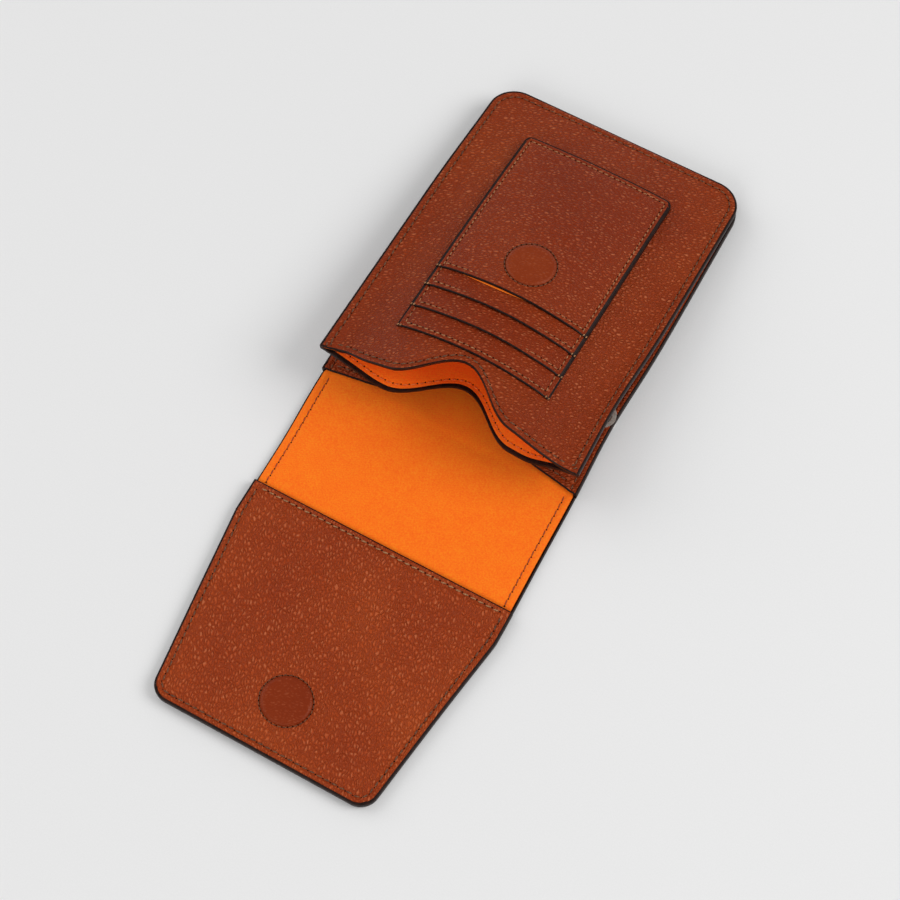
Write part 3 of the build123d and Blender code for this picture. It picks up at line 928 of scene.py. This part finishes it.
# Magnet discs: a round of smooth leather drawn over each magnet ------------------------------
def disc(name, centre_y, surface, body):
    radius = MAGNET_R + 0.55
    rings = [0, 0.35, 0.65, 0.8, 0.88, 0.93, 0.965, 0.985, 1.0]

    def place(u, r):
        angle = (u + 1) * math.pi
        x, y = radius * r * math.cos(angle), centre_y + radius * r * math.sin(angle)
        rise = DISC_RISE * (1 - r ** 8) ** 0.5 + 0.2 * dent(r, 0.86, 0.08) if r < 1 else -0.3
        return x, y, surface(x, y) + rise
    obj = grid(name, [-1 + i / 36 for i in range(73)], rings, place)
    ease(obj)
    outward(obj)
    for face in obj.data.polygons:
        face.use_smooth = True
    obj.data.materials.append(DISC_LEATHER_PAINTED_SHADE)
    settle(obj, body)


disc("flap_magnet_disc", FLAP_MAGNET_Y, lambda x, y: LINING_Z + FACING_T + lift(y), "flap")
disc("pocket_magnet_disc", POCKET_MAGNET_Y, card_top(3), "pouch")

# Painted edges of the stacked layers ---------------------------------------------------------
bead("painted_edge_back", dense(round_path(CASE_HALF, MOUTH_Y + 0.3, CASE_HALF, FAR_Y, FAR_R, EDGE_IN)),
     lambda x, y: 0.2, lambda x, y: BACK_TOP - 0.15, 1.2, "back")
bead("painted_edge_pouch", dense(round_path(POUCH_HALF, MOUTH_Y + 0.6, POUCH_HALF, FAR_Y, FAR_R, EDGE_IN)),
     lambda x, y: seam_height(y) - TWILL_T - POUCH_T,
     lambda x, y: seam_height(y) + TWILL_T + POUCH_T, 1.2, "pouch")
flap_edge = [Vector((CASE_HALF - EDGE_IN, FACING_Y - 0.3))]
flap_edge += round_path(CASE_HALF, TAPER_Y, FLAP_END_HALF, END_Y, FLAP_R, EDGE_IN)
flap_edge += [Vector((EDGE_IN - CASE_HALF, FACING_Y - 0.3))]
bead("painted_edge_flap", dense(flap_edge), lambda x, y: 0.2 + lift(y),
     lambda x, y: LINING_Z + FACING_T - 0.15 + lift(y), 1.2, "flap")

card_mouths = (CARD_NEAR, LOWER_MOUTH, MIDDLE_MOUTH, TOP_MOUTH)
for level, near in enumerate(card_mouths):
    if level == 3:
        paths = [dense(round_path(CARD_HALF, near + 0.1, CARD_HALF, CARD_FAR, CARD_R, 0.2))]
    else:
        reach = card_mouths[level + 1] + 1.0
        paths = [[Vector((s * (CARD_HALF - 0.2), near + 0.1 + (reach - near) * i / 8)) for i in range(9)]
                 for s in (1, -1)]
    for i, path in enumerate(paths):
        bead(f"painted_edge_card_{level}_{i + 1}", path, lambda x, y: front(x, y) + TWILL_T + POUCH_T - 0.1,
             lambda x, y: card_top(level)(x, y) + 0.1, 0.75, "pouch")

# Seams ----------------------------------------------------------------------------------------
back_path = round_path(CASE_HALF, MOUTH_Y + 1, CASE_HALF, FAR_Y, FAR_R, STITCH_IN)
sew("seam_back_border", [back_path], slip_top, THREAD, "back")
slip_path = [Vector((x, slip_lip(x) + STITCH_IN)) for x in spaced(4 - CASE_HALF, CASE_HALF - 4, 2)]
sew("seam_slip_mouth", [slip_path], slip_top, THREAD, "back")
flap_seam = round_path(CASE_HALF, TAPER_Y, FLAP_END_HALF, END_Y, FLAP_R, STITCH_IN)
seam_side = CASE_HALF - STITCH_IN
flap_path = [Vector((seam_side, FACING_Y - 3.5))] + flap_seam + [Vector((-seam_side, FACING_Y - 3.5))]
sew("seam_flap_border", [flap_path], facing_top, THREAD, "flap")
sew("seam_flap_facing", [[Vector((4 - CASE_HALF, FACING_Y - 2.2)), Vector((CASE_HALF - 4, FACING_Y - 2.2))]],
    facing_top, TAN_THREAD, "flap")
pouch_path = dense(round_path(POUCH_HALF, MOUTH_Y + 3, POUCH_HALF, FAR_Y, FAR_R, STITCH_IN))
sew("seam_pouch_border", [pouch_path], front_top, THREAD, "pouch")
front_lip_path = [Vector((x, front_lip(x) + 2.4)) for x in spaced(5 - POUCH_HALF, POUCH_HALF - 5, 1)]
corner_tacks = [[Vector((s * (POUCH_HALF - 3.6), MOUTH_Y + 3.2)),
                 Vector((s * (POUCH_HALF - 1.6), MOUTH_Y + 1.6))] for s in (-1, 1)]
sew("tack_pouch_corners", corner_tacks, front_top, THREAD, "pouch", pitch=1.0, length=1.6, radius=0.32,
    slant=70)
sew("seam_front_lip", [front_lip_path], front_top, THREAD, "pouch")
back_lip_path = [Vector((x, back_lip(x) + 3.0)) for x in spaced(5 - POUCH_HALF, POUCH_HALF - 5, 1)]
sew("seam_back_lip", [back_lip_path], back_lining_top, ORANGE_THREAD, "pouch")
card_path = round_path(CARD_HALF, TOP_MOUTH + 1, CARD_HALF, CARD_FAR, CARD_R, 2.3)
sew("seam_card_panel", [card_path], card_top(3), TAN_THREAD, "pouch", pitch=2.4, length=1.6, radius=0.24)
for level, (name, near) in enumerate(zip(("base", "lower", "middle", "top"), card_mouths)):
    tacks = [[Vector((s * (CARD_HALF - 1.8), near + 0.3)), Vector((s * (CARD_HALF + 0.3), near + 0.3))]
             for s in (-1, 1)]
    sew(f"tack_card_{name}", tacks, card_top(level), TAN_THREAD, "pouch", pitch=1.0, length=1.1, radius=0.3,
        slant=70)
    line = [[Vector((2.5 - CARD_HALF, near + 2.0)), Vector((CARD_HALF - 2.5, near + 2.0))]]
    if level < 3:
        line += [[Vector((s * (CARD_HALF - 2.3), near + 2)), Vector((s * (CARD_HALF - 2.3), near + 10))]
                 for s in (-1, 1)]
    sew(f"seam_card_{name}", line, card_top(level), TAN_THREAD, "pouch", pitch=2.4, length=1.6, radius=0.22)


def ring(centre_y):
    radius = MAGNET_R + 0.95
    return [Vector((radius * math.cos(a * math.pi / 36), centre_y + radius * math.sin(a * math.pi / 36)))
            for a in range(73)]


sew("seam_flap_magnet", [ring(FLAP_MAGNET_Y)], facing_top, THREAD, "flap", pitch=RING_PITCH, length=1.5,
    radius=0.24)
sew("seam_pocket_magnet", [ring(POCKET_MAGNET_Y)], card_top(3), THREAD, "pouch", pitch=RING_PITCH, length=1.5,
    radius=0.24)
wrap_side = CASE_HALF - LINING_HALF_IN - 2.9
outer_path = round_path(CASE_HALF, 0, CASE_HALF, FAR_Y, FAR_R, STITCH_IN)
flap_outer = [Vector((seam_side, -1))] + flap_seam + [Vector((-seam_side, -1))]
sides = [[Vector((s * wrap_side, MOUTH_Y - 1.5)), Vector((s * wrap_side, FACING_Y + 1.0))] for s in (-1, 1)]
for k in range(HINGES):
    span = (lining_ends[k] if k else MOUTH_Y - 0.5, lining_ends[k + 1] if k < HINGES - 1 else FACING_Y + 1.0)
    sew(f"seam_wrap_lining_{k + 1}", sides, wrap_top, RUST_THREAD, k + 1, within=span, length=2.4,
        radius=0.24)
    outer = [flap_outer] if k else [outer_path, flap_outer]
    span = (hide_ends[k], hide_ends[k + 1])
    if k in (0, HINGES - 1):
        span = (hide_ends[k] + 1, hide_ends[k + 1] - 1e-6)
    sew(f"seam_outer_{k + 1}", outer, outer_face, THREAD, k + 1, within=span, side=-1)

# Finishes of the frame's nodes that are shown as they are -------------------------------------
for name, node in frame["nodes"].items():
    if name.startswith(("strap_eyelet", "eyelet_washer")):
        finish = NICKEL
    elif name.endswith("magnet"):
        finish = MAGNET
    elif name.endswith("stiffener"):
        finish = BOARD
    else:
        continue
    node.data.materials.clear()
    node.data.materials.append(finish)

# Stage ------------------------------------------------------------------------------------------
deselect()
bpy.ops.mesh.primitive_plane_add(size=6)
floor = bpy.context.object
floor.name = "floor"
# Matt paper sweep: pale and even, with a barely visible tooth.
floor.data.materials.append(grained("matt_paper_sweep", ("#E9E9E9", "#EBEBEB"), 0.6, (0.92, 0.98), 0.00001))

scene = bpy.context.scene
world = bpy.data.worlds.new("studio_air")
scene.world = world
world.use_nodes = True
world.node_tree.nodes["Background"].inputs["Color"].default_value = (1, 1, 1, 1)
world.node_tree.nodes["Background"].inputs["Strength"].default_value = 0.45


def soft_light(name, place, target, size, watts):
    data = bpy.data.lights.new(name, "AREA")
    data.shape = "DISK"
    data.size = size
    data.energy = watts
    light = bpy.data.objects.new(name, data)
    scene.collection.objects.link(light)
    light.location = place
    light.rotation_euler = (Vector(target) - Vector(place)).to_track_quat("-Z", "Y").to_euler()
    return light


soft_light("left_box", (-1.45, 0.0, 1.05), (0, 0, 0), 1.6, 9.0)
soft_light("right_box", (1.35, 0.55, 1.2), (0, 0, 0), 1.2, 17.0)
soft_light("front_box", (0.0, -1.5, 1.0), (0, 0, 0), 1.0, 6.5)

camera_data = bpy.data.cameras.new("view")
camera_data.lens = 83.83
camera_data.sensor_width = 36
camera = bpy.data.objects.new("view", camera_data)
scene.collection.objects.link(camera)
camera.matrix_world = Matrix(((0.8746, -0.4424, 0.1984, 0.1584), (0.4848, 0.8050, -0.3421, -0.2739),
                              (-0.0084, 0.3954, 0.9185, 0.7190), (0, 0, 0, 1)))
scene.camera = camera
scene.view_settings.view_transform = "Standard"
